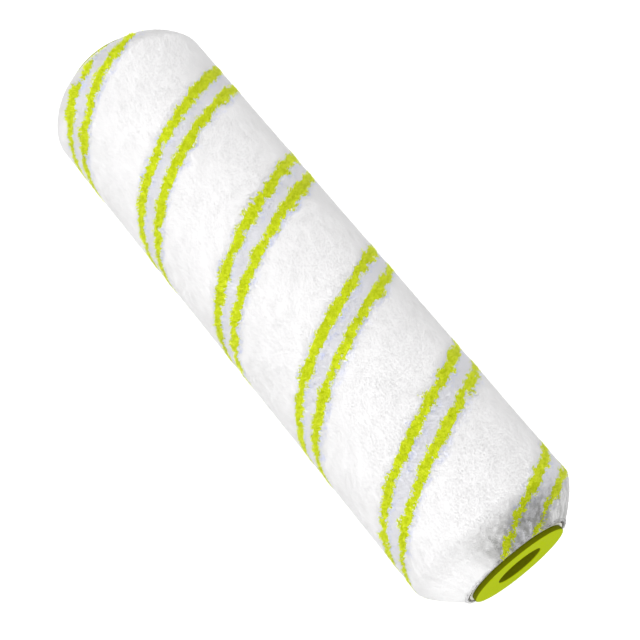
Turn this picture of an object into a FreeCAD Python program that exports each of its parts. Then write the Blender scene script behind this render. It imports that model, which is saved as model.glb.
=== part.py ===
import FreeCAD
import Part

import math
import os

# A 250 mm paint roller sleeve: a striped plush fabric strip wound on a plastic core,
# with a moulded cap and a turning bearing in each end. It slides onto the bare 8 mm rod
# of a roller frame, which isn't part of it.
#
# Frame: the sleeve's axis is Y, and the origin is on it, midway between the cap faces.
# Millimetres. "Depth" is measured along the axis from a cap's outer face inwards.

# --- Driving dimensions -------------------------------------------------------------

core_length = 250.0
core_bore_r = 19.0
core_wall = 1.3
adhesive_thickness = 0.25
backing_thickness = 0.9
pile_outer_r = 33.9

# Fabric pattern. The strip winds as a right-handed screw, and one strip width is one lead.
lead = 97.8
pairs_per_lead = 2
stripe_spacing = 10.1
stripe_width = 4.4
stripe_clearance = 0.04
pattern_shift = -3.2
pile_root_web = 0.5
seam_gap = 0.3
sweep_turns = 3

# Bevel trimmed on each end of the pile, and the rounding of its shoulder.
bevel_length = 8.8
bevel_foot_r = 23.3
bevel_round = 10.0

# End cap.
flange_r = 19.65
flange_thickness = 2.0
flange_edge_round = 0.5
mouth_r = 9.1
mouth_round = 0.7
mouth_depth = 6.4
hub_outer_r = 10.9
hub_depth = 20.0
spigot_r = 18.65
spigot_wall = 1.5
spigot_depth = 18.0
spigot_lead_in = 0.8
crush_rib_r = 18.95
crush_rib_count = 10
crush_rib_width = 1.2
crush_rib_run_out = 3.0
web_count = 8
web_thickness = 1.2
web_depth = 14.0

# Turning bearing in each cap.
axle_bore_r = 4.03
axle_lead_in = 0.6
bush_r = 7.0
bush_running_gap = 0.05
bush_flange_r = 8.7
bush_flange_thickness = 1.5
bush_end_depth = 23.5
bush_lead_in = 0.8
funnel_r = 5.9
funnel_length = 4.5
washer_thickness = 0.5
washer_r = 8.8
ring_thickness = 0.9
ring_r = 8.8
ring_groove_r = 6.1
ring_end_play = 0.15
ring_gap_deg = 70.0
small_gap = 0.05

# How far a cutting shape reaches past what it cuts, and how far a web sinks into its hub.
cut_overlap = 1.0
web_root_overlap = 0.8
same_radius = 1e-6

# --- Values worked out from them ----------------------------------------------------

core_outer_r = core_bore_r + core_wall
backing_inner_r = core_outer_r + adhesive_thickness
pile_root_r = backing_inner_r + backing_thickness
stripe_root_r = pile_root_r + pile_root_web
half_core = core_length / 2
half_length = half_core + flange_thickness
pair_pitch = lead / pairs_per_lead
bush_seat_r = bush_r + bush_running_gap
washer_depth = mouth_depth - washer_thickness
bush_face_depth = washer_depth - bush_flange_thickness
ring_depth = hub_depth + ring_end_play

ORIGIN = FreeCAD.Vector(0, 0, 0)
AXIS = FreeCAD.Vector(0, 1, 0)


# --- Helpers ------------------------------------------------------------------------


def point(radius, y):
    """A point of a half section, in the XY plane."""
    return FreeCAD.Vector(radius, y, 0)


def at_depth(radius, depth):
    """A point of a half section at a depth below the near cap's face."""
    return point(radius, depth - half_length)


def revolve(points):
    """The solid swept by a half section with straight sides, given its corners."""
    return Part.Face(Part.makePolygon(points + points[:1])).revolve(ORIGIN, AXIS, 360)


def tube(inner_r, outer_r, y_low, y_high):
    """A plain ring about the axis, from y_low to y_high."""
    return revolve(
        [
            point(inner_r, y_low),
            point(outer_r, y_low),
            point(outer_r, y_high),
            point(inner_r, y_high),
        ]
    )


def rims(shape, radius):
    """The shape's full circles of that radius, from the near end to the far end."""
    circles = [edge for edge in shape.Edges if isinstance(edge.Curve, Part.Circle)]
    found = [edge for edge in circles if abs(edge.Curve.Radius - radius) < same_radius]
    return sorted(found, key=lambda edge: edge.CenterOfMass.y)


def mirrored(shape):
    """The far end's copy of a near end part."""
    return shape.mirror(ORIGIN, AXIS)


def around(shape, count):
    """Copies of a shape, evenly spaced about the axis."""
    copies = []
    for index in range(count):
        copy = shape.copy()
        copy.rotate(ORIGIN, AXIS, index * 360.0 / count)
        copies.append(copy)
    return copies


def slab(points, thickness):
    """A flat plate with its outline in the XY plane, centred on that plane."""
    face = Part.Face(Part.makePolygon(points + points[:1]))
    face.translate(FreeCAD.Vector(0, 0, -thickness / 2))
    return face.extrude(FreeCAD.Vector(0, 0, thickness))


def helix(radius):
    """A wire of whole turns about Z, one edge to a turn, that starts at the origin's height."""
    edges = []
    for turn in range(sweep_turns):
        edge = Part.makeHelix(lead, lead, radius).Edges[0]
        edge.translate(FreeCAD.Vector(0, 0, turn * lead))
        edges.append(edge)
    return Part.Wire(edges)


def helical_band(centre_y, width, inner_r, outer_r):
    """A band that follows the fabric's wind past both ends. It crosses the +X side at centre_y."""
    start_y = -lead * sweep_turns / 2
    low, high = -width / 2, width / 2
    corners = [(inner_r, low), (outer_r, low), (outer_r, high), (inner_r, high), (inner_r, low)]
    section = Part.makePolygon([FreeCAD.Vector(radius, 0, height) for radius, height in corners])
    band = helix((inner_r + outer_r) / 2).makePipeShell([section], True, True)
    band.rotate(ORIGIN, FreeCAD.Vector(0, 0, 1), 360 * (start_y - centre_y) / lead)
    band.rotate(ORIGIN, FreeCAD.Vector(1, 0, 0), -90)
    band.translate(FreeCAD.Vector(0, start_y, 0))
    return band


# --- Core and fabric ----------------------------------------------------------------


def core_tube():
    """Extruded plastic tube that the fabric strip is wound on."""
    return tube(core_bore_r, core_outer_r, -half_core, half_core)


def adhesive_film():
    """Hot-melt film that bonds the fabric's backing to the core."""
    return tube(core_outer_r, backing_inner_r, -half_core, half_core)


def backing_strip():
    """Knitted ground of the fabric, one strip wound edge to edge with a fine open seam."""
    sheet = tube(backing_inner_r, pile_root_r, -half_core, half_core)
    seam_y = pattern_shift + pair_pitch / 2
    seam = helical_band(seam_y, seam_gap, backing_inner_r - cut_overlap, pile_root_r + cut_overlap)
    return sheet.cut(seam)


def pile_body(inner_r):
    """The whole pile from a radius outwards, bevelled down to the fabric at each end."""
    bevel_y = half_core - bevel_length
    body = revolve(
        [
            point(inner_r, -half_core),
            point(bevel_foot_r, -half_core),
            point(pile_outer_r, -bevel_y),
            point(pile_outer_r, bevel_y),
            point(bevel_foot_r, half_core),
            point(inner_r, half_core),
        ]
    )
    return body.makeFillet(bevel_round, rims(body, pile_outer_r))


def stripe_centres():
    """Where each coloured stripe crosses the +X side: two stripes to a pair, two pairs to a lead."""
    centres = []
    for pair in range(pairs_per_lead):
        for side in (-1, 1):
            centres.append(pattern_shift + pair * pair_pitch + side * stripe_spacing / 2)
    return centres


def white_pile():
    """White pile, with a groove down to its root web for each coloured stripe."""
    body = pile_body(pile_root_r)
    for centre in stripe_centres():
        groove = helical_band(centre, stripe_width, stripe_root_r, pile_outer_r + cut_overlap)
        body = body.cut(groove)
    return body


def green_stripe(centre):
    """One coloured stripe of pile, standing in its groove."""
    width = stripe_width - 2 * stripe_clearance
    root_r = stripe_root_r + stripe_clearance
    band = helical_band(centre, width, root_r - cut_overlap, pile_outer_r + cut_overlap)
    return pile_body(root_r).common(band)


# --- End cap ------------------------------------------------------------------------


def end_cap_shell():
    """Flange, hub and bearing seat in one turned section, plus the spigot wall."""
    flange = revolve(
        [
            at_depth(mouth_r, 0),
            at_depth(flange_r, 0),
            at_depth(flange_r, flange_thickness),
            at_depth(mouth_r, flange_thickness),
        ]
    )
    flange = flange.makeFillet(flange_edge_round, rims(flange, flange_r))
    outer_mouth_rim = rims(flange, mouth_r)[0]
    flange = flange.makeFillet(mouth_round, [outer_mouth_rim])
    hub = revolve(
        [
            at_depth(mouth_r, flange_thickness),
            at_depth(hub_outer_r, flange_thickness),
            at_depth(hub_outer_r, hub_depth),
            at_depth(bush_seat_r, hub_depth),
            at_depth(bush_seat_r, mouth_depth),
            at_depth(mouth_r, mouth_depth),
        ]
    )
    spigot = revolve(
        [
            at_depth(spigot_r - spigot_wall, flange_thickness),
            at_depth(spigot_r, flange_thickness),
            at_depth(spigot_r, spigot_depth - spigot_lead_in),
            at_depth(spigot_r - spigot_lead_in, spigot_depth),
            at_depth(spigot_r - spigot_wall, spigot_depth),
        ]
    )
    return flange.fuse([hub, spigot])


def crush_rib():
    """Rib on the spigot that bites the core's bore, tapered where it enters."""
    root_r = spigot_r - spigot_wall / 2
    run_out = spigot_depth - spigot_lead_in - crush_rib_run_out
    return slab(
        [
            at_depth(root_r, flange_thickness),
            at_depth(crush_rib_r, flange_thickness),
            at_depth(crush_rib_r, run_out),
            at_depth(root_r, run_out + crush_rib_run_out),
        ],
        crush_rib_width,
    )


def hub_web():
    """Web that ties the hub to the spigot behind the flange."""
    inner_r = hub_outer_r - web_root_overlap
    outer_r = spigot_r - spigot_wall / 2
    return slab(
        [
            at_depth(inner_r, flange_thickness / 2),
            at_depth(outer_r, flange_thickness / 2),
            at_depth(outer_r, web_depth),
            at_depth(inner_r, web_depth),
        ],
        web_thickness,
    )


def end_cap():
    """The moulded cap: shell, crush ribs and webs as one solid."""
    ribs = around(crush_rib(), crush_rib_count) + around(hub_web(), web_count)
    return end_cap_shell().fuse(ribs).removeSplitter()


# --- Turning bearing ----------------------------------------------------------------


def bearing_bush():
    """Flanged bush. Its bore takes the frame's rod, and a funnel guides the rod in from inside."""
    return revolve(
        [
            at_depth(axle_bore_r + axle_lead_in, bush_face_depth),
            at_depth(bush_flange_r, bush_face_depth),
            at_depth(bush_flange_r, washer_depth),
            at_depth(bush_r, washer_depth),
            at_depth(bush_r, ring_depth),
            at_depth(ring_groove_r, ring_depth),
            at_depth(ring_groove_r, ring_depth + ring_thickness + small_gap),
            at_depth(bush_r, ring_depth + ring_thickness + small_gap),
            at_depth(bush_r, bush_end_depth - bush_lead_in),
            at_depth(bush_r - bush_lead_in, bush_end_depth),
            at_depth(funnel_r, bush_end_depth),
            at_depth(axle_bore_r, bush_end_depth - funnel_length),
            at_depth(axle_bore_r, bush_face_depth + axle_lead_in),
        ]
    )


def thrust_washer():
    """Thin washer between the bush's flange and the cap's bearing seat."""
    inner_r = bush_r + small_gap
    return tube(inner_r, washer_r, washer_depth - half_length, mouth_depth - half_length)


def retaining_ring():
    """Split ring that snaps into the bush's groove behind the hub."""
    low = ring_depth - half_length
    ring = tube(ring_groove_r + small_gap, ring_r, low, low + ring_thickness)
    reach = ring_r + cut_overlap
    half_opening = reach * math.tan(math.radians(ring_gap_deg / 2))
    wedge_low = low - cut_overlap
    corners = [
        FreeCAD.Vector(0, wedge_low, 0),
        FreeCAD.Vector(reach, wedge_low, half_opening),
        FreeCAD.Vector(reach, wedge_low, -half_opening),
    ]
    wedge_face = Part.Face(Part.makePolygon(corners + corners[:1]))
    wedge = wedge_face.extrude(FreeCAD.Vector(0, ring_thickness + 2 * cut_overlap, 0))
    return ring.cut(wedge)


# --- Assembly -----------------------------------------------------------------------


def assembly():
    """Every node's shape, by name."""
    parts = {
        "core_tube": core_tube(),
        "adhesive_film": adhesive_film(),
        "backing_strip": backing_strip(),
        "white_pile": white_pile(),
    }
    for number, centre in enumerate(stripe_centres(), start=1):
        parts[f"green_stripe_{number}"] = green_stripe(centre)
    for name, build in (
        ("end_cap", end_cap),
        ("bearing_bush", bearing_bush),
        ("thrust_washer", thrust_washer),
        ("retaining_ring", retaining_ring),
    ):
        near = build()
        parts["near_" + name] = near
        parts["far_" + name] = mirrored(near)
    return parts


os.makedirs("parts", exist_ok=True)
for node, shape in assembly().items():
    shape.exportStep(f"parts/{node}.step")
    print(node, shape.isValid(), len(shape.Solids), round(shape.Volume, 1))
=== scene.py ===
import math

import bpy
import numpy as np
from mathutils import Matrix, Vector


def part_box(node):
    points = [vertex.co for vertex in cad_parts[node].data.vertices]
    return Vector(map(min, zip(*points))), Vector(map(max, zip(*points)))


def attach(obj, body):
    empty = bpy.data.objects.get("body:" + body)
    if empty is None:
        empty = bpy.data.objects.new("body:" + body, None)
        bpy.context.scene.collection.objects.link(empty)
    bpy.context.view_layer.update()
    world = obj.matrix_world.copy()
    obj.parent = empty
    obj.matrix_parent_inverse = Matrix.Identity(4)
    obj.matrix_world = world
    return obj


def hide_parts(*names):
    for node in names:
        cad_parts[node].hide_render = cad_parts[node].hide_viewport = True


# Looks for the paint roller sleeve. Lengths are in metres, in the CAD's frame, with the sleeve along Y.
# The fabric's pile is built as thousands of small closed tufts that stand on a low lumpy ground.

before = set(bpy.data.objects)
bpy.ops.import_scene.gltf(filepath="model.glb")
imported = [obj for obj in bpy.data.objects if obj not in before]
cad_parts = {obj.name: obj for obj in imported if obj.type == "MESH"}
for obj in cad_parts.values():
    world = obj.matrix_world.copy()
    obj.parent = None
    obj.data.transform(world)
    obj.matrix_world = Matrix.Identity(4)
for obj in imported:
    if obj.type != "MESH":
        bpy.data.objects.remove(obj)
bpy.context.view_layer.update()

MM = 0.001
TURN = 2 * math.pi

# --- The sleeve's sizes, read from the frame ----------------------------------------

pile_low, pile_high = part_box("white_pile")
cap_low, cap_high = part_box("near_end_cap")

PILE_R = (pile_high.z - pile_low.z) / 2
HALF_FABRIC = pile_high.y
CAP_R = cap_high.x
SLEEVE_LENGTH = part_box("far_end_cap")[1].y - cap_low.y
BACKING_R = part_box("backing_strip")[1].x
FILM_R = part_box("adhesive_film")[1].x

# --- The fabric's pattern -----------------------------------------------------------

LEAD = 97.8 * MM
PAIRS = 2
PAIR_PITCH = LEAD / PAIRS
HALF_SPACING = 10.1 * MM / 2
HALF_STRIPE = 4.25 * MM / 2
PATTERN_SHIFT = -3.2 * MM

# The bands of the pattern are numbered: first the stripes, then the narrow white bands between a
# pair's two stripes, then the wide white bands between the pairs.
NARROW_ZONE = 2 * PAIRS
WIDE_ZONE = 3 * PAIRS

# How far the stripes stray sideways, and how their width varies as a share of itself.
STRIPE_WANDER = 0.48 * MM
STRIPE_RAGGED = 0.46 * MM
WIDTH_CHANGE = 0.12
FAR_BEVEL_WIDTH_CHANGE = 0.40
BEVEL_NARROWING = 0.30

# --- The pile's end bevel -----------------------------------------------------------

BEVEL_LENGTH = 13.5 * MM
BEVEL_FOOT_R = BACKING_R + 1.2 * MM
BEVEL_CURVE = 1.55
BEVEL_CORE = 0.3

# --- Tufts --------------------------------------------------------------------------

TUFT_SPACING = 0.55 * MM
TUFT_JITTER = 0.38
TUFT_HALF_WIDTH = 0.42 * MM
TUFT_WIDTH_SPREAD = 0.10
BEVEL_WIDER = 0.12
ROOT_SINK = 0.3 * MM
EDGE_MIX = 0.28 * MM

# How far the ground lies below the pile's surface: shallow where the fabric is plain white.
SHALLOW = 0.40 * MM
DEEP = 0.80 * MM
LEAST_ROOM = 0.8 * MM
GROUND_DEEPER_ON_BEVEL = 1.2
ROOTS_DEEPER_ON_BEVEL = 0.5

# Sideways lean, as a share of the outward direction, and how much more or less some tufts lean.
CLUMP_LEAN = 0.03
TUFT_LEAN = 0.20
LOOSER_STRIPE = 0.8
LOOSER_BEVEL = 0.5
TIGHTER_PLAIN = 0.5

# How far tips rise over the surface.
CLUMP_RISE = 0.02 * MM
BROAD_RISE = 0.03 * MM
TUFT_RISE = 0.07 * MM
MEAN_RISE = 0.05 * MM
STRIPE_RISE = 0.25 * MM
ROUGHER_BEVEL = 1.5
SMOOTHER_PLAIN = 0.5

# The most of a tuft's buried length that a low tip may take away.
MOST_CUT_SHARE = 0.6

# How far the tufts' shading follows the fabric: the plain white looks smoothest.
SOFT_WHITE = 0.96
SOFT_STRIPE = 0.85

# The near end's pile reaches over the cap's rim; the far end's is trimmed, so that its rim shows.
NEAR_OVERHANG = 0.3 * MM
FAR_OVERHANG = -1.2 * MM
NEAR_LIFT = -0.70 * MM
FAR_LIFT = 0.35 * MM
FAR_TRIM = 1.6 * MM
FAR_TRIM_LENGTH = 4.0 * MM

# A multiple of the length that surely holds the tufts that stand past the fabric's ends.
PAST_END = 1.05

# Blue-grey fuzz beside the stripes: wider on the side towards the near end.
FRINGE_NEAR = 3.2 * MM
FRINGE_FAR = 1.2 * MM
FUZZ_MEAN = 0.50
FUZZ_FLECKS = 0.85
FUZZ_LUMPS = 0.30
NARROW_FUZZ = 0.15

# The pile has painted grey shade round one side of its near end.
PAINTED_SHADE_ANGLE = math.radians(42)
PAINTED_SHADE_REACH = math.radians(92)
PAINTED_SHADE_FULL_SHARE = 0.7
PAINTED_SHADE_LEAST = 0.44
PAINTED_SHADE_BLOTCHES = 0.48
PAINTED_SHADE_FLECKS = 0.15

# The ground under the tufts, and the knitted strip.
GROUND_STEP = 1.3 * MM
GROUND_LUMPS = 0.04 * MM
LEAST_GROUND = 0.12 * MM
KNIT_STEP = 2.0 * MM
KNIT_ROW = 0.75 * MM
KNIT_RELIEF = 0.06 * MM
SEAM_HALF = 0.25 * MM

# The ground's share of the bake picture's width, and where the tufts' share starts.
GROUND_UV_WIDTH = 0.2
TUFT_UV_START = 0.22


def unit(vectors):
    return vectors / np.linalg.norm(vectors, axis=-1, keepdims=True)


def smoothstep(low, high, value):
    share = np.clip((value - low) / (high - low), 0, 1)
    return share * share * (3 - 2 * share)


def column(values):
    """A list of numbers as a column, to scale a list of vectors."""
    return values[:, None]


class Noise:
    """Smooth noise that repeats round the sleeve: a sum of seeded waves in angle and length."""

    def __init__(self, seed, wavelength, waves=24):
        rng = np.random.default_rng(seed)
        most_turns = TURN * PILE_R / wavelength
        self.turns = np.round(rng.uniform(-most_turns, most_turns, waves))
        self.slopes = rng.uniform(-1, 1, waves) * TURN / wavelength
        self.phases = rng.uniform(0, TURN, waves)
        self.scale = math.sqrt(2 / waves)

    def __call__(self, angle, y):
        total = np.zeros_like(np.asarray(y, float))
        for turns, slope, phase in zip(self.turns, self.slopes, self.phases):
            total += np.sin(turns * angle + slope * y + phase)
        return total * self.scale


stripe_wander = Noise(3, 8 * MM)
stripe_ragged = Noise(4, 3.0 * MM, waves=40)
stripe_swell = Noise(10, 9 * MM)
clump_height = Noise(5, 5 * MM, waves=36)
broad_height = Noise(6, 22 * MM)
lean_around = Noise(7, 6 * MM, waves=36)
lean_along = Noise(8, 6 * MM, waves=36)
broad_lean = Noise(9, 30 * MM)
fleck = Noise(14, 2.0 * MM, waves=48)


# --- The shape of the pile ----------------------------------------------------------


def on_sleeve(angle, y, radius):
    return np.stack([radius * np.cos(angle), y + 0 * angle, radius * np.sin(angle)], axis=-1)


def pile_radius(y):
    """The pile's outer radius along the sleeve: a cylinder with a rounded bevel at each end."""
    depth = HALF_FABRIC - np.abs(y)
    left = np.clip(1 - depth / BEVEL_LENGTH, 0, 1)
    return PILE_R - (PILE_R - BEVEL_FOOT_R) * left**BEVEL_CURVE


def bevel_share(y):
    """0 on the cylinder, rising to 1 on the outer part of the bevel."""
    depth = HALF_FABRIC - np.abs(y)
    return 1 - smoothstep(BEVEL_CORE * BEVEL_LENGTH, BEVEL_LENGTH, depth)


def pair_offset(angle, y):
    """Axial distance from the nearest stripe pair's centre line, and which pair it is."""
    phase = (y - PATTERN_SHIFT + angle / TURN * LEAD) / PAIR_PITCH
    pair = np.round(phase)
    return (phase - pair) * PAIR_PITCH, np.mod(pair, PAIRS).astype(int)


def zone_of(angle, y):
    """The band a point lies in, how far it is past a stripe's edge, and its offset from the pair's centre.

    Between a pair's two stripes, the edge meant is the one nearer the far end.
    """
    offset, pair = pair_offset(angle, y)
    offset = offset + STRIPE_WANDER * stripe_wander(angle, y) + STRIPE_RAGGED * stripe_ragged(angle, y)
    from_stripe = np.abs(np.abs(offset) - HALF_SPACING)
    side = (offset > 0).astype(int)
    bevel = bevel_share(y)
    change = (WIDTH_CHANGE + FAR_BEVEL_WIDTH_CHANGE * bevel * (y > 0)) * stripe_swell(angle, y)
    half_width = HALF_STRIPE * (1 - BEVEL_NARROWING * bevel + change)
    is_stripe = from_stripe < half_width
    is_narrow = ~is_stripe & (np.abs(offset) < HALF_SPACING)
    wide = np.where(side == 1, pair, np.mod(pair - 1, PAIRS))
    white = np.where(is_narrow, NARROW_ZONE + pair, WIDE_ZONE + wide)
    zone = np.where(is_stripe, 2 * pair + side, white)
    past_edge = np.where(is_narrow, HALF_SPACING - half_width - offset, from_stripe - half_width)
    return zone, past_edge, offset


def plain_share(zone, from_edge):
    """1 where the fabric is plain white, 0 at a stripe and between a pair's two stripes."""
    return smoothstep(0, FRINGE_NEAR, from_edge) * (zone >= WIDE_ZONE)


def fringe_and_painted_shade(angle, y, zone, from_edge, offset):
    """How blue-grey the fuzz beside the stripes is, and how much painted shade lies on the near end."""
    lumps = clump_height(angle, y)
    flecks = np.clip(FUZZ_MEAN + FUZZ_FLECKS * fleck(angle, y) + FUZZ_LUMPS * lumps, 0, 1)
    reach = np.where(offset < HALF_SPACING, FRINGE_NEAR, FRINGE_FAR)
    fringe = np.clip(1 - from_edge / reach, 0, 1) * flecks
    is_narrow = (zone >= NARROW_ZONE) & (zone < WIDE_ZONE)
    tint = np.where(zone < NARROW_ZONE, 0, np.maximum(fringe, NARROW_FUZZ * is_narrow))
    blotch = np.clip(0.5 + 0.5 * lumps + 0.2 * broad_height(angle, y), 0, 1)
    # Painted shade: grey in blotches on the near end's bevel, round one side of the sleeve.
    turned = np.abs(np.mod(angle - PAINTED_SHADE_ANGLE + math.pi, TURN) - math.pi)
    painted_shade_side = (1 - smoothstep(PAINTED_SHADE_REACH * PAINTED_SHADE_FULL_SHARE, PAINTED_SHADE_REACH, turned)) * (y < 0)
    darkness = np.clip(PAINTED_SHADE_LEAST + PAINTED_SHADE_BLOTCHES * blotch + PAINTED_SHADE_FLECKS * fleck(angle, y), 0, 1)
    shade = bevel_share(y) * painted_shade_side * darkness
    return tint, shade


def ground_radius(angle, y):
    """The slightly lumpy ground that the tufts stand on, low beside the stripes."""
    zone, from_edge, _ = zone_of(angle, y)
    depth = DEEP + (SHALLOW - DEEP) * plain_share(zone, from_edge)
    lumps = GROUND_LUMPS * clump_height(angle, y)
    sunk = pile_radius(y) - depth * (1 + GROUND_DEEPER_ON_BEVEL * bevel_share(y)) + lumps
    return np.maximum(sunk, BACKING_R + LEAST_GROUND)


def ground_foot(angle, y):
    """The ground's inner radius, just clear of the knitted strip."""
    return np.full_like(y, BACKING_R + 0.02 * MM)


def ground_paint(angle, y):
    zone, from_edge, offset = zone_of(angle, y)
    tint, shade = fringe_and_painted_shade(angle, y, zone, from_edge, offset)
    return {"tip": 0.5, "tone": 0.5, "tint": tint, "shade": shade}


def ground_band(zone):
    """Centre on the +X side and half width of a band's ground strip, along the axis."""
    if zone < NARROW_ZONE:
        pair, side = divmod(zone, 2)
        return PATTERN_SHIFT + pair * PAIR_PITCH + (2 * side - 1) * HALF_SPACING, HALF_STRIPE
    if zone < WIDE_ZONE:
        return PATTERN_SHIFT + (zone - NARROW_ZONE) * PAIR_PITCH, HALF_SPACING - HALF_STRIPE
    half_wide = PAIR_PITCH / 2 - HALF_SPACING - HALF_STRIPE
    return PATTERN_SHIFT + (zone - WIDE_ZONE + 0.5) * PAIR_PITCH, half_wide


def pile_pieces():
    """Each piece of pile: its name, the CAD node that it stands for, its band, and its ends along Y."""
    near_half, far_half = (-HALF_FABRIC, 0), (0, HALF_FABRIC)
    whole = (-HALF_FABRIC, HALF_FABRIC)
    pieces = []
    for stripe in range(NARROW_ZONE):
        pieces.append((f"green_pile_{stripe + 1}", f"green_stripe_{stripe + 1}", stripe, whole))
    for pair in range(PAIRS):
        pieces.append((f"white_pile_narrow_{pair + 1}", "white_pile", NARROW_ZONE + pair, whole))
    for pair in range(PAIRS):
        for end, span in (("near", near_half), ("far", far_half)):
            pieces.append((f"white_pile_wide_{pair + 1}_{end}", "white_pile", WIDE_ZONE + pair, span))
    return pieces


# --- Mesh building ------------------------------------------------------------------


class MeshParts:
    """Collects vertices, faces of one size at a time, bake coordinates and vertex values."""

    def __init__(self):
        self.vertices = []
        self.normals = []
        self.values = {"tip": [], "tone": [], "tint": [], "shade": []}
        self.corners = []
        self.sizes = []
        self.uvs = []
        self.count = 0

    def add(self, points, normals, **values):
        first = self.count
        self.vertices.append(points)
        self.normals.append(normals)
        self.count += len(points)
        for name, store in self.values.items():
            store.append(np.broadcast_to(values[name], len(points)))
        return first

    def faces(self, corners, uvs):
        """Corners is faces by corners, and uvs has a pair for each corner."""
        self.corners.append(corners.ravel())
        self.sizes.append(np.full(len(corners), corners.shape[1]))
        self.uvs.append(uvs.reshape(-1, 2))

    def quads(self, corners, low_u, high_u, low_v, high_v):
        """Four-cornered faces, each with its own upright rectangle in the bake picture."""
        uvs = np.stack([low_u, low_v, low_u, high_v, high_u, high_v, high_u, low_v], axis=1)
        self.faces(corners, uvs)

    def build(self, name, material, body, node):
        vertices = np.concatenate(self.vertices)
        corners = np.concatenate(self.corners)
        sizes = np.concatenate(self.sizes)
        mesh = bpy.data.meshes.new(name)
        mesh.vertices.add(len(vertices))
        mesh.vertices.foreach_set("co", vertices.astype(np.float32).ravel())
        mesh.loops.add(len(corners))
        mesh.loops.foreach_set("vertex_index", corners.astype(np.int32))
        mesh.polygons.add(len(sizes))
        starts = np.concatenate([[0], np.cumsum(sizes)[:-1]])
        mesh.polygons.foreach_set("loop_start", starts.astype(np.int32))
        mesh.polygons.foreach_set("use_smooth", np.ones(len(sizes), bool))
        uv_layer = mesh.uv_layers.new(name="OFBake")
        uv_layer.data.foreach_set("uv", np.concatenate(self.uvs).astype(np.float32).ravel())
        for key, store in self.values.items():
            attribute = mesh.attributes.new(key, "FLOAT", "POINT")
            attribute.data.foreach_set("value", np.concatenate(store).astype(np.float32))
        shading = mesh.attributes.new("custom_normal", "FLOAT_VECTOR", "POINT")
        shading.data.foreach_set("vector", np.concatenate(self.normals).astype(np.float32).ravel())
        mesh.update(calc_edges=True)
        mesh.validate()
        mesh.materials.append(material)
        piece = bpy.data.objects.new(name, mesh)
        bpy.context.scene.collection.objects.link(piece)
        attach(piece, body)
        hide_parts(node)


def add_strip(parts, band, span, inner_r, outer_r, step, uv_width, paint):
    """A closed helical strip of the fabric.

    The band is its centre and half width, and the span its two ends. inner_r and outer_r give radii
    from angle and y, and paint gives the vertex values.
    """
    centre, half_width = band
    low_y, high_y = span
    rows = int(round((high_y - low_y) / step)) + 1
    columns = max(int(round(2 * half_width / step)) + 1, 4)
    y = np.linspace(low_y, high_y, rows)[:, None]
    across = np.linspace(-half_width, half_width, columns)[None, :]
    angle = TURN * (centre + across - y) / LEAD
    y = np.broadcast_to(y, angle.shape)
    outer = on_sleeve(angle, y, outer_r(angle, y))
    inner = on_sleeve(angle, y, inner_r(angle, y))
    section = np.concatenate([outer, inner[:, ::-1]], axis=1)
    round_section = section.shape[1]
    facing = section * [1, 0, 1] * column(np.where(np.arange(round_section) < columns, 1, -1))
    section_angle = np.concatenate([angle, angle[:, ::-1]], axis=1).ravel()
    values = paint(section_angle, section[..., 1].ravel())
    first = parts.add(section.reshape(-1, 3), unit(facing).reshape(-1, 3), **values)
    add_strip_sides(parts, first, rows, round_section, uv_width)
    add_strip_ends(parts, first, rows, columns, round_section, uv_width)


def add_strip_sides(parts, first, rows, round_section, uv_width):
    margin, run = 0.02, 0.96
    row, place = np.meshgrid(np.arange(rows - 1), np.arange(round_section), indexing="ij")
    row, place = row.ravel(), place.ravel()
    here, there = row * round_section, (row + 1) * round_section
    after = (place + 1) % round_section
    corners = np.stack([here + place, there + place, there + after, here + after], axis=1)
    low_u, high_u = place / round_section * uv_width, (place + 1) / round_section * uv_width
    low_v, high_v = margin + row / rows * run, margin + (row + 1) / rows * run
    parts.quads(first + corners, low_u, high_u, low_v, high_v)


def add_strip_ends(parts, first, rows, columns, round_section, uv_width):
    low_end_v, high_end_v, end_height = 0.0, 0.985, 0.012
    place = np.arange(columns - 1)
    below = round_section - 1 - place
    low_u, high_u = place / columns * uv_width, (place + 1) / columns * uv_width
    for row, v in ((0, low_end_v), (rows - 1, high_end_v)):
        corners = row * round_section + np.stack([place, below, below - 1, place + 1], axis=1)
        if row == 0:
            corners = corners[:, ::-1]
        low_v = np.full(len(place), v)
        parts.quads(first + corners, low_u, high_u, low_v, low_v + end_height)


class Tufts:
    """Lists with one item for each tuft, under the names that they are given."""

    def __init__(self, **lists):
        self.__dict__.update(lists)

    def pick(self, chosen):
        return Tufts(**{name: items[chosen] for name, items in vars(self).items()})


def add_tufts(parts, tufts):
    """Closed three-sided tufts.

    Their shading normals lean towards the fabric's own, which gives the soft look of plush.
    """
    count = len(tufts.bases)
    softness = column(tufts.softness)
    points = np.zeros((count, 4, 3))
    normals = np.zeros((count, 4, 3))
    for corner in range(3):
        turn = TURN * corner / 3
        arm = tufts.side * math.cos(turn) + tufts.other * math.sin(turn)
        points[:, corner] = tufts.bases + arm * column(tufts.half_width)
        normals[:, corner] = tufts.outward * softness + arm * (1 - softness)
    points[:, 3] = tufts.tips
    normals[:, 3] = tufts.outward * softness + unit(tufts.tips - tufts.bases) * (1 - softness)
    first = parts.add(
        points.reshape(-1, 3),
        unit(normals).reshape(-1, 3),
        tip=np.tile([0.0, 0.0, 0.0, 1.0], count),
        tone=np.repeat(tufts.tone, 4),
        tint=np.repeat(tufts.tint, 4),
        shade=np.repeat(tufts.shade, 4),
    )
    add_tuft_faces(parts, first, count)


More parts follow.
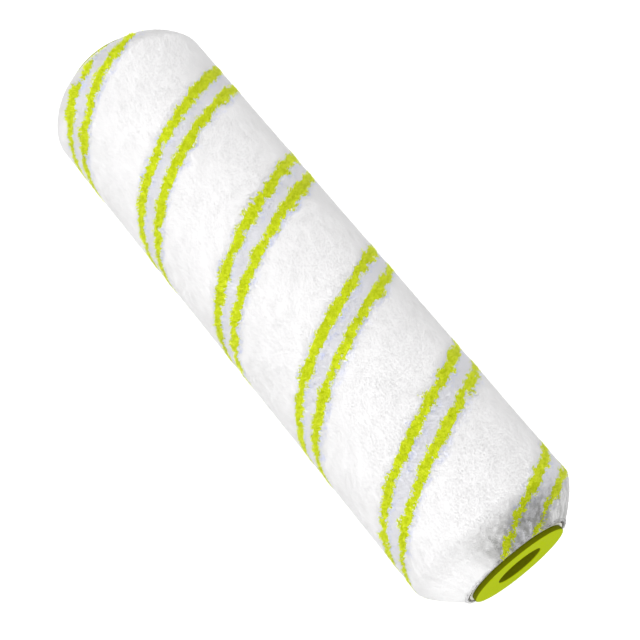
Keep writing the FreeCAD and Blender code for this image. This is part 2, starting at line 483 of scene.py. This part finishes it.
def add_tuft_faces(parts, first, count):
    """Each tuft's four faces share one cell of a grid in the bake picture."""
    base = first + 4 * column(np.arange(count))
    columns = int(math.ceil(math.sqrt(count)))
    cell = np.arange(count)
    cell_w, cell_h = (1 - TUFT_UV_START) / columns, 1.0 / math.ceil(count / columns)
    cell_u = TUFT_UV_START + (cell % columns) * cell_w
    cell_v = (cell // columns) * cell_h
    margin, run = 0.15, 0.7

    def patch(outline):
        pairs = np.array(outline, float) * run + margin
        u = column(cell_u) + pairs[None, :, 0] * cell_w
        v = column(cell_v) + pairs[None, :, 1] * cell_h
        return np.stack([u, v], axis=-1)

    for corner in range(3):
        after = (corner + 1) % 3
        low, high = corner / 3, (corner + 1) / 3
        outline = [(low, 0.1), (high, 0.1), ((low + high) / 2, 1.0)]
        parts.faces(base + np.array([[corner, after, 3]]), patch(outline))
    parts.faces(base + np.array([[2, 1, 0]]), patch([(0, 0), (0.3, 0), (0.15, 0.08)]))


# --- The pile -----------------------------------------------------------------------


def tuft_field():
    """Jittered rows of tufts over the pile and round onto its end faces: angle, y, radius, end share."""
    rng = np.random.default_rng(11)
    side_y = np.linspace(-HALF_FABRIC - NEAR_OVERHANG, HALF_FABRIC + FAR_OVERHANG, 4000)
    side_r = pile_radius(side_y)
    face_r = np.linspace(BACKING_R + 0.3 * MM, BEVEL_FOOT_R, 60)[:-1]
    flat = 0 * face_r
    fine_y = np.concatenate([flat + side_y[0], side_y, flat + side_y[-1]])
    fine_r = np.concatenate([face_r, side_r, face_r[::-1]])
    fine_end = np.concatenate([flat + 1, 0 * side_y, flat + 1])
    steps = np.hypot(np.diff(fine_y), np.diff(fine_r))
    travelled = np.concatenate([[0], np.cumsum(steps)])
    row_step = TUFT_SPACING * math.sqrt(3) / 2
    rows = []
    for number, place in enumerate(np.arange(row_step * 0.3, travelled[-1], row_step)):
        around = int(round(TURN * np.interp(place, travelled, fine_r) / TUFT_SPACING))
        angle = (np.arange(around) + 0.5 * (number % 2)) * TURN / around
        angle = angle + rng.uniform(-TUFT_JITTER, TUFT_JITTER, around) * TURN / around
        where = place + rng.uniform(-TUFT_JITTER, TUFT_JITTER, around) * row_step
        rows.append([angle] + [np.interp(where, travelled, fine) for fine in (fine_y, fine_r, fine_end)])
    angle, y, radius, end = np.concatenate(rows, axis=1)
    return np.mod(angle + math.pi, TURN) - math.pi, y, radius, end


def fabric_directions(angle, y, bevel, end):
    """At each tuft: away from the axis, outward from the fabric, round the sleeve, and along the fabric."""
    bevel_tilt, face_turn = 0.30, 0.6
    radial = on_sleeve(angle, 0 * y, 1.0)
    axial = np.array([0, 1.0, 0]) * np.ones((len(y), 1))
    around = np.cross(axial, radial)
    towards_end = (bevel_tilt * bevel + end) * np.sign(y)
    outward = unit(radial * column(1 - face_turn * end) + axial * column(towards_end))
    return radial, outward, around, np.cross(outward, around)


def grow_tufts():
    """Every tuft of the sleeve, and the band that each is in."""
    angle, y, radius, end = tuft_field()
    rng = np.random.default_rng(12)
    count = len(y)
    zone, from_edge, offset = zone_of(angle, y + rng.normal(0, EDGE_MIX, count))
    bevel = bevel_share(y)
    green = zone < NARROW_ZONE
    plain = plain_share(zone, from_edge)
    radial, outward, around, along = fabric_directions(angle, y, bevel, end)

    lean_a = CLUMP_LEAN * (lean_around(angle, y) + broad_lean(angle, y)) + rng.normal(0, TUFT_LEAN, count)
    lean_l = CLUMP_LEAN * lean_along(angle, y) + rng.normal(0, TUFT_LEAN, count)
    looseness = 1 + LOOSER_STRIPE * green + LOOSER_BEVEL * bevel - TIGHTER_PLAIN * plain
    direction = unit(outward + around * column(lean_a * looseness) + along * column(lean_l * looseness))

    trim = FAR_TRIM * (1 - smoothstep(0, FAR_TRIM_LENGTH, HALF_FABRIC - y))
    lift = np.where(y < 0, NEAR_LIFT * bevel, FAR_LIFT * bevel - trim) * (1 - end)
    uneven = CLUMP_RISE * clump_height(angle, y) + BROAD_RISE * broad_height(angle, y)
    uneven = uneven + rng.normal(0, TUFT_RISE, count)
    roughness = (1 + ROUGHER_BEVEL * bevel) * (1 - SMOOTHER_PLAIN * plain)
    height = uneven * roughness + MEAN_RISE + STRIPE_RISE * green + lift
    steepness = np.maximum((outward * radial).sum(axis=1), 0.5)
    room = np.maximum((radius - BACKING_R) / steepness, LEAST_ROOM)
    depth = DEEP + (SHALLOW - DEEP) * plain
    sink = np.minimum(depth * (1 + ROOTS_DEEPER_ON_BEVEL * bevel) + ROOT_SINK, room)
    bases = on_sleeve(angle, y, radius) - outward * column(sink)
    tips = bases + direction * column(sink + np.maximum(height, -MOST_CUT_SHARE * sink))

    spin = rng.uniform(0, TURN, count)
    side = around * column(np.cos(spin)) + along * column(np.sin(spin))
    width_spread = rng.normal(0, TUFT_WIDTH_SPREAD, count)
    tint, shade = fringe_and_painted_shade(angle, y, zone, from_edge, offset)
    core = np.clip(-from_edge / HALF_STRIPE, 0, 1)
    speckle = 0.2 * fleck(angle, y) + rng.normal(0, 0.2, count)
    tufts = Tufts(
        y=y,
        bases=bases,
        tips=tips,
        outward=outward,
        side=side,
        other=np.cross(outward, side),
        half_width=TUFT_HALF_WIDTH * (1 + width_spread) * (1 + BEVEL_WIDER * bevel),
        softness=SOFT_STRIPE + (SOFT_WHITE - SOFT_STRIPE) * plain * (1 - bevel * (y < 0)),
        tone=np.clip(np.where(green, 0.85 - 0.5 * core + 1.3 * speckle, 0.5 + speckle), 0, 1),
        tint=tint,
        shade=shade,
    )
    return tufts, zone


def build_pile():
    materials = {"white_pile": white_pile_material(), "green_pile": green_pile_material()}
    tufts, zone = grow_tufts()
    for name, node, number, span in pile_pieces():
        parts = MeshParts()
        band = ground_band(number)
        add_strip(parts, band, span, ground_foot, ground_radius, GROUND_STEP, GROUND_UV_WIDTH, ground_paint)
        low_y, high_y = span
        in_span = (tufts.y >= low_y * PAST_END) & (tufts.y <= high_y * PAST_END)
        add_tufts(parts, tufts.pick((zone == number) & in_span))
        slot = "green_pile" if number < NARROW_ZONE else "white_pile"
        parts.build(name, materials[slot], "sleeve", node)


# --- The knitted strip under the pile -----------------------------------------------


def knit_foot(angle, y):
    return np.full_like(y, FILM_R)


def knit_radius(angle, y):
    """Fine rows of loops, sunk by up to twice their relief."""
    return BACKING_R - KNIT_RELIEF * (1 + np.sin(y / KNIT_ROW))


def knit_paint(angle, y):
    return {"tip": 0.5, "tone": 0.5, "tint": 0.0, "shade": 0.0}


def build_backing():
    parts = MeshParts()
    band = (PATTERN_SHIFT + PAIR_PITCH / 2 + LEAD / 2, LEAD / 2 - SEAM_HALF)
    whole = (-HALF_FABRIC, HALF_FABRIC)
    add_strip(parts, band, whole, knit_foot, knit_radius, KNIT_STEP, 1.0, knit_paint)
    parts.build("backing_knit", knit_material(), "sleeve", "backing_strip")


# --- Materials ----------------------------------------------------------------------


def feed(tree, item, socket):
    """Gives a socket another node's output, a colour or a number."""
    if hasattr(item, "links"):
        tree.links.new(item, socket)
    elif isinstance(item, tuple):
        socket.default_value = (*item, 1)
    else:
        socket.default_value = item


class Nodes:
    """Short ways to add and join a material's shader nodes."""

    def __init__(self, name):
        self.material = bpy.data.materials.new(name)
        self.material.use_nodes = True
        self.tree = self.material.node_tree
        self.shader = self.tree.nodes["Principled BSDF"]

    def add(self, kind, **settings):
        node = self.tree.nodes.new(kind)
        for key, value in settings.items():
            setattr(node, key, value)
        return node

    def join(self, source, target):
        self.tree.links.new(source, target)

    def place(self):
        return self.add("ShaderNodeTexCoord").outputs["Object"]

    def value(self, name):
        return self.add("ShaderNodeAttribute", attribute_name=name).outputs["Fac"]

    def noise(self, scale):
        place = self.place()
        node = self.add("ShaderNodeTexNoise")
        node.inputs["Scale"].default_value = scale
        node.inputs["Detail"].default_value = 3.0
        self.join(place, node.inputs["Vector"])
        return node.outputs["Fac"]

    def math(self, operation, first, second=0.5, clamp=False):
        node = self.add("ShaderNodeMath", operation=operation, use_clamp=clamp)
        feed(self.tree, first, node.inputs[0])
        feed(self.tree, second, node.inputs[1])
        return node.outputs[0]

    def stretch(self, value, factor, start):
        """The value times a factor, from a start."""
        return self.math("ADD", self.math("MULTIPLY", value, factor), start)

    def mix(self, share, first, second):
        node = self.add("ShaderNodeMix", data_type="RGBA")
        share_socket, first_socket, second_socket = node.inputs[0], node.inputs[6], node.inputs[7]
        feed(self.tree, share, share_socket)
        feed(self.tree, first, first_socket)
        feed(self.tree, second, second_socket)
        return node.outputs[2]

    def set(self, name, item):
        feed(self.tree, item, self.shader.inputs[name])

    def bump(self, height, depth):
        node = self.add("ShaderNodeBump")
        node.inputs["Distance"].default_value = depth
        self.join(height, node.inputs["Height"])
        self.join(node.outputs["Normal"], self.shader.inputs["Normal"])


def white_pile_material():
    """White tufts with painted shade at their roots, blue-grey where tinted and painted grey shade on the
    near end.
    """
    nodes = Nodes("white_pile")
    tip, tone, tint = nodes.value("tip"), nodes.value("tone"), nodes.value("tint")
    # Painted shade: the roots are darker than the crowns, most where tinted.
    root = nodes.mix(tint, (0.82, 0.82, 0.82), (0.50, 0.54, 0.78))
    crown = nodes.mix(tint, (0.83, 0.82, 0.825), (0.72, 0.76, 0.97))
    height = nodes.math("MULTIPLY", tip, nodes.stretch(tone, 0.9, 0.45), clamp=True)
    unshaded = nodes.mix(height, root, crown)
    # Painted shade: grey mixed in by the shade value, on the near end's bevel.
    nodes.set("Base Color", nodes.mix(nodes.value("shade"), unshaded, (0.32, 0.32, 0.31)))
    nodes.set("Roughness", 0.95)
    nodes.set("Sheen Weight", 0.5)
    nodes.set("Sheen Roughness", 0.6)
    nodes.set("Specular IOR Level", 0.05)
    return nodes.material


def green_pile_material():
    """Lime tufts with painted shade at the roots, so lighter at the tips, lighter towards a stripe's edges,
    and darker with painted shade on the near end.
    """
    nodes = Nodes("green_pile")
    tip, tone = nodes.value("tip"), nodes.value("tone")
    # Painted shade: the roots are darker than the crowns.
    root = (0.54, 0.64, 0.003)
    crown = nodes.mix(tone, (0.60, 0.72, 0.003), (0.92, 1.0, 0.060))
    unshaded = nodes.mix(nodes.math("POWER", tip, 0.8), root, crown)
    # Painted shade: darker lime by half the shade value, on the near end's bevel.
    painted_shade_share = nodes.math("MULTIPLY", nodes.value("shade"), 0.5)
    nodes.set("Base Color", nodes.mix(painted_shade_share, unshaded, (0.30, 0.35, 0.004)))
    nodes.set("Roughness", 0.9)
    nodes.set("Sheen Weight", 0.1)
    nodes.set("Specular IOR Level", 0.05)
    return nodes.material


def cap_material():
    """Lime plastic with a fine moulded grain, darker with painted shade on the near rim and inside the
    mouth.
    """
    rim_band = 0.2 * MM
    mouth_r = 9.25 * MM
    far_rim_darkness = 0.3
    nodes = Nodes("lime_cap")
    place = nodes.add("ShaderNodeSeparateXYZ")
    nodes.join(nodes.place(), place.inputs[0])
    across = nodes.math("POWER", place.outputs["X"], 2.0)
    up = nodes.math("POWER", place.outputs["Z"], 2.0)
    radius = nodes.math("SQRT", nodes.math("ADD", across, up))
    # Painted shade: the rim and the inside of the mouth take a darker lime, the far rim less of it.
    rim = nodes.math("GREATER_THAN", radius, CAP_R - rim_band)
    near_end = nodes.math("LESS_THAN", place.outputs["Y"], 0.0)
    rim = nodes.math("MULTIPLY", rim, nodes.stretch(near_end, 1 - far_rim_darkness, far_rim_darkness))
    mouth = nodes.math("LESS_THAN", radius, mouth_r)
    grain = nodes.noise(900.0)
    bright = nodes.mix(grain, (0.30, 0.375, 0.001), (0.36, 0.44, 0.002))
    painted_shade_lime = nodes.mix(grain, (0.095, 0.108, 0.001), (0.13, 0.143, 0.002))
    nodes.set("Base Color", nodes.mix(nodes.math("MAXIMUM", rim, mouth), bright, painted_shade_lime))
    nodes.set("Roughness", nodes.stretch(grain, 0.2, 0.45))
    nodes.set("Specular IOR Level", 0.003)
    nodes.bump(grain, 0.03 * MM)
    return nodes.material


def plastic_material(name, low, high, roughness, scale):
    nodes = Nodes(name)
    grain = nodes.noise(scale)
    nodes.set("Base Color", nodes.mix(grain, low, high))
    nodes.set("Roughness", nodes.stretch(grain, 0.2, roughness - 0.1))
    nodes.bump(grain, 0.03 * MM)
    return nodes.material


def knit_material():
    nodes = Nodes("backing_knit")
    loops = nodes.add("ShaderNodeTexWave", wave_type="BANDS", bands_direction="DIAGONAL")
    loops.inputs["Scale"].default_value = 260.0
    loops.inputs["Distortion"].default_value = 2.0
    nodes.join(nodes.place(), loops.inputs["Vector"])
    nodes.set("Base Color", nodes.mix(loops.outputs["Fac"], (0.50, 0.49, 0.45), (0.72, 0.71, 0.67)))
    nodes.set("Roughness", 0.95)
    nodes.bump(loops.outputs["Fac"], 0.1 * MM)
    return nodes.material


def steel_material():
    nodes = Nodes("ring_steel")
    grain = nodes.noise(2500.0)
    nodes.set("Base Color", nodes.mix(grain, (0.38, 0.38, 0.40), (0.52, 0.52, 0.54)))
    nodes.set("Metallic", 1.0)
    nodes.set("Roughness", nodes.stretch(grain, 0.2, 0.25))
    return nodes.material


def dress(node, material):
    """Gives a carried-over CAD node its material."""
    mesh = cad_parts[node].data
    mesh.materials.clear()
    mesh.materials.append(material)


def dress_hard_parts():
    cap = cap_material()
    bush = plastic_material("bush_plastic", (0.66, 0.66, 0.62), (0.78, 0.78, 0.74), 0.4, 700.0)
    washer = plastic_material("washer_plastic", (0.015, 0.015, 0.015), (0.03, 0.03, 0.03), 0.5, 900.0)
    steel = steel_material()
    core = plastic_material("core_plastic", (0.58, 0.58, 0.56), (0.66, 0.66, 0.64), 0.45, 300.0)
    film = plastic_material("adhesive_film", (0.55, 0.52, 0.40), (0.70, 0.67, 0.55), 0.35, 200.0)
    for end in ("near", "far"):
        dress(f"{end}_end_cap", cap)
        dress(f"{end}_bearing_bush", bush)
        dress(f"{end}_thrust_washer", washer)
        dress(f"{end}_retaining_ring", steel)
    dress("core_tube", core)
    dress("adhesive_film", film)


# --- Stage, light and camera --------------------------------------------------------


def build_floor():
    """A wide floor that glows a little, so that it stays an even pale white under the soft light."""
    reach = 12 * SLEEVE_LENGTH
    height = -PILE_R - 0.7 * MM
    corners = [(x * reach, y * reach, height) for x, y in ((-1, -1), (1, -1), (1, 1), (-1, 1))]
    mesh = bpy.data.meshes.new("floor")
    mesh.from_pydata(corners, [], [(0, 1, 2, 3)])
    floor = bpy.data.objects.new("floor", mesh)
    bpy.context.scene.collection.objects.link(floor)
    nodes = Nodes("floor")
    nodes.set("Base Color", (0.82, 0.82, 0.82))
    nodes.set("Roughness", 1.0)
    nodes.set("Emission Color", (1.0, 1.0, 1.0))
    nodes.set("Emission Strength", 0.36)
    mesh.materials.append(nodes.material)


def build_key_light():
    """A square soft light above the sleeve's -X side, which faces its middle."""
    lamp = bpy.data.lights.new("key_light", "AREA")
    lamp.size = 0.9
    lamp.energy = 3.5
    light = bpy.data.objects.new("key_light", lamp)
    place = Vector((-0.8, 0.35, 1.0)).normalized() * 5 * SLEEVE_LENGTH
    light.matrix_world = Matrix.Translation(place) @ place.to_track_quat("Z", "Y").to_matrix().to_4x4()
    bpy.context.scene.collection.objects.link(light)


def build_world():
    """White light from all round, a little stronger on the sleeve's -X side."""
    bright_side = Vector((-0.90, -0.15, 0.30)).normalized()
    world = bpy.data.worlds.new("studio")
    world.use_nodes = True
    tree = world.node_tree
    background = tree.nodes["Background"]
    background.inputs["Color"].default_value = (1, 1, 1, 1)
    towards = tree.nodes.new("ShaderNodeVectorMath")
    towards.operation = "DOT_PRODUCT"
    towards.inputs[1].default_value = bright_side
    tree.links.new(tree.nodes.new("ShaderNodeTexCoord").outputs["Generated"], towards.inputs[0])
    strength = tree.nodes.new("ShaderNodeMapRange")
    dark_end, bright_end = (-0.8, 1.19), (0.9, 1.30)
    strength.inputs["From Min"].default_value, strength.inputs["To Min"].default_value = dark_end
    strength.inputs["From Max"].default_value, strength.inputs["To Max"].default_value = bright_end
    tree.links.new(towards.outputs["Value"], strength.inputs["Value"])
    tree.links.new(strength.outputs["Result"], background.inputs["Strength"])
    bpy.context.scene.world = world


def build_camera():
    """Looks steeply down on the sleeve from beyond its near end, turned a little about its own axis."""
    place = Vector((-0.5067, -0.8572, 2.2178)) * SLEEVE_LENGTH
    backward = Vector((-0.21165, -0.33804, 0.91703))
    turn_degrees = -5.455
    turned = Matrix.Rotation(math.radians(turn_degrees), 4, "Z")
    camera_data = bpy.data.cameras.new("camera")
    camera_data.lens = 93.18
    camera_data.sensor_width = 36
    camera_data.clip_start = 0.01
    camera = bpy.data.objects.new("camera", camera_data)
    aim = backward.normalized().to_track_quat("Z", "Y").to_matrix().to_4x4()
    camera.matrix_world = Matrix.Translation(place) @ aim @ turned
    bpy.context.scene.collection.objects.link(camera)
    bpy.context.scene.camera = camera


def write_sizes():
    """Holds a helper that turns box corners into plain numbers; nothing is written."""

    def plain(bounds):
        return [[float(number) for number in corner] for corner in bounds]


build_pile()
build_backing()
dress_hard_parts()
build_floor()
build_key_light()
build_world()
build_camera()
bpy.context.scene.view_settings.view_transform = "Standard"
write_sizes()
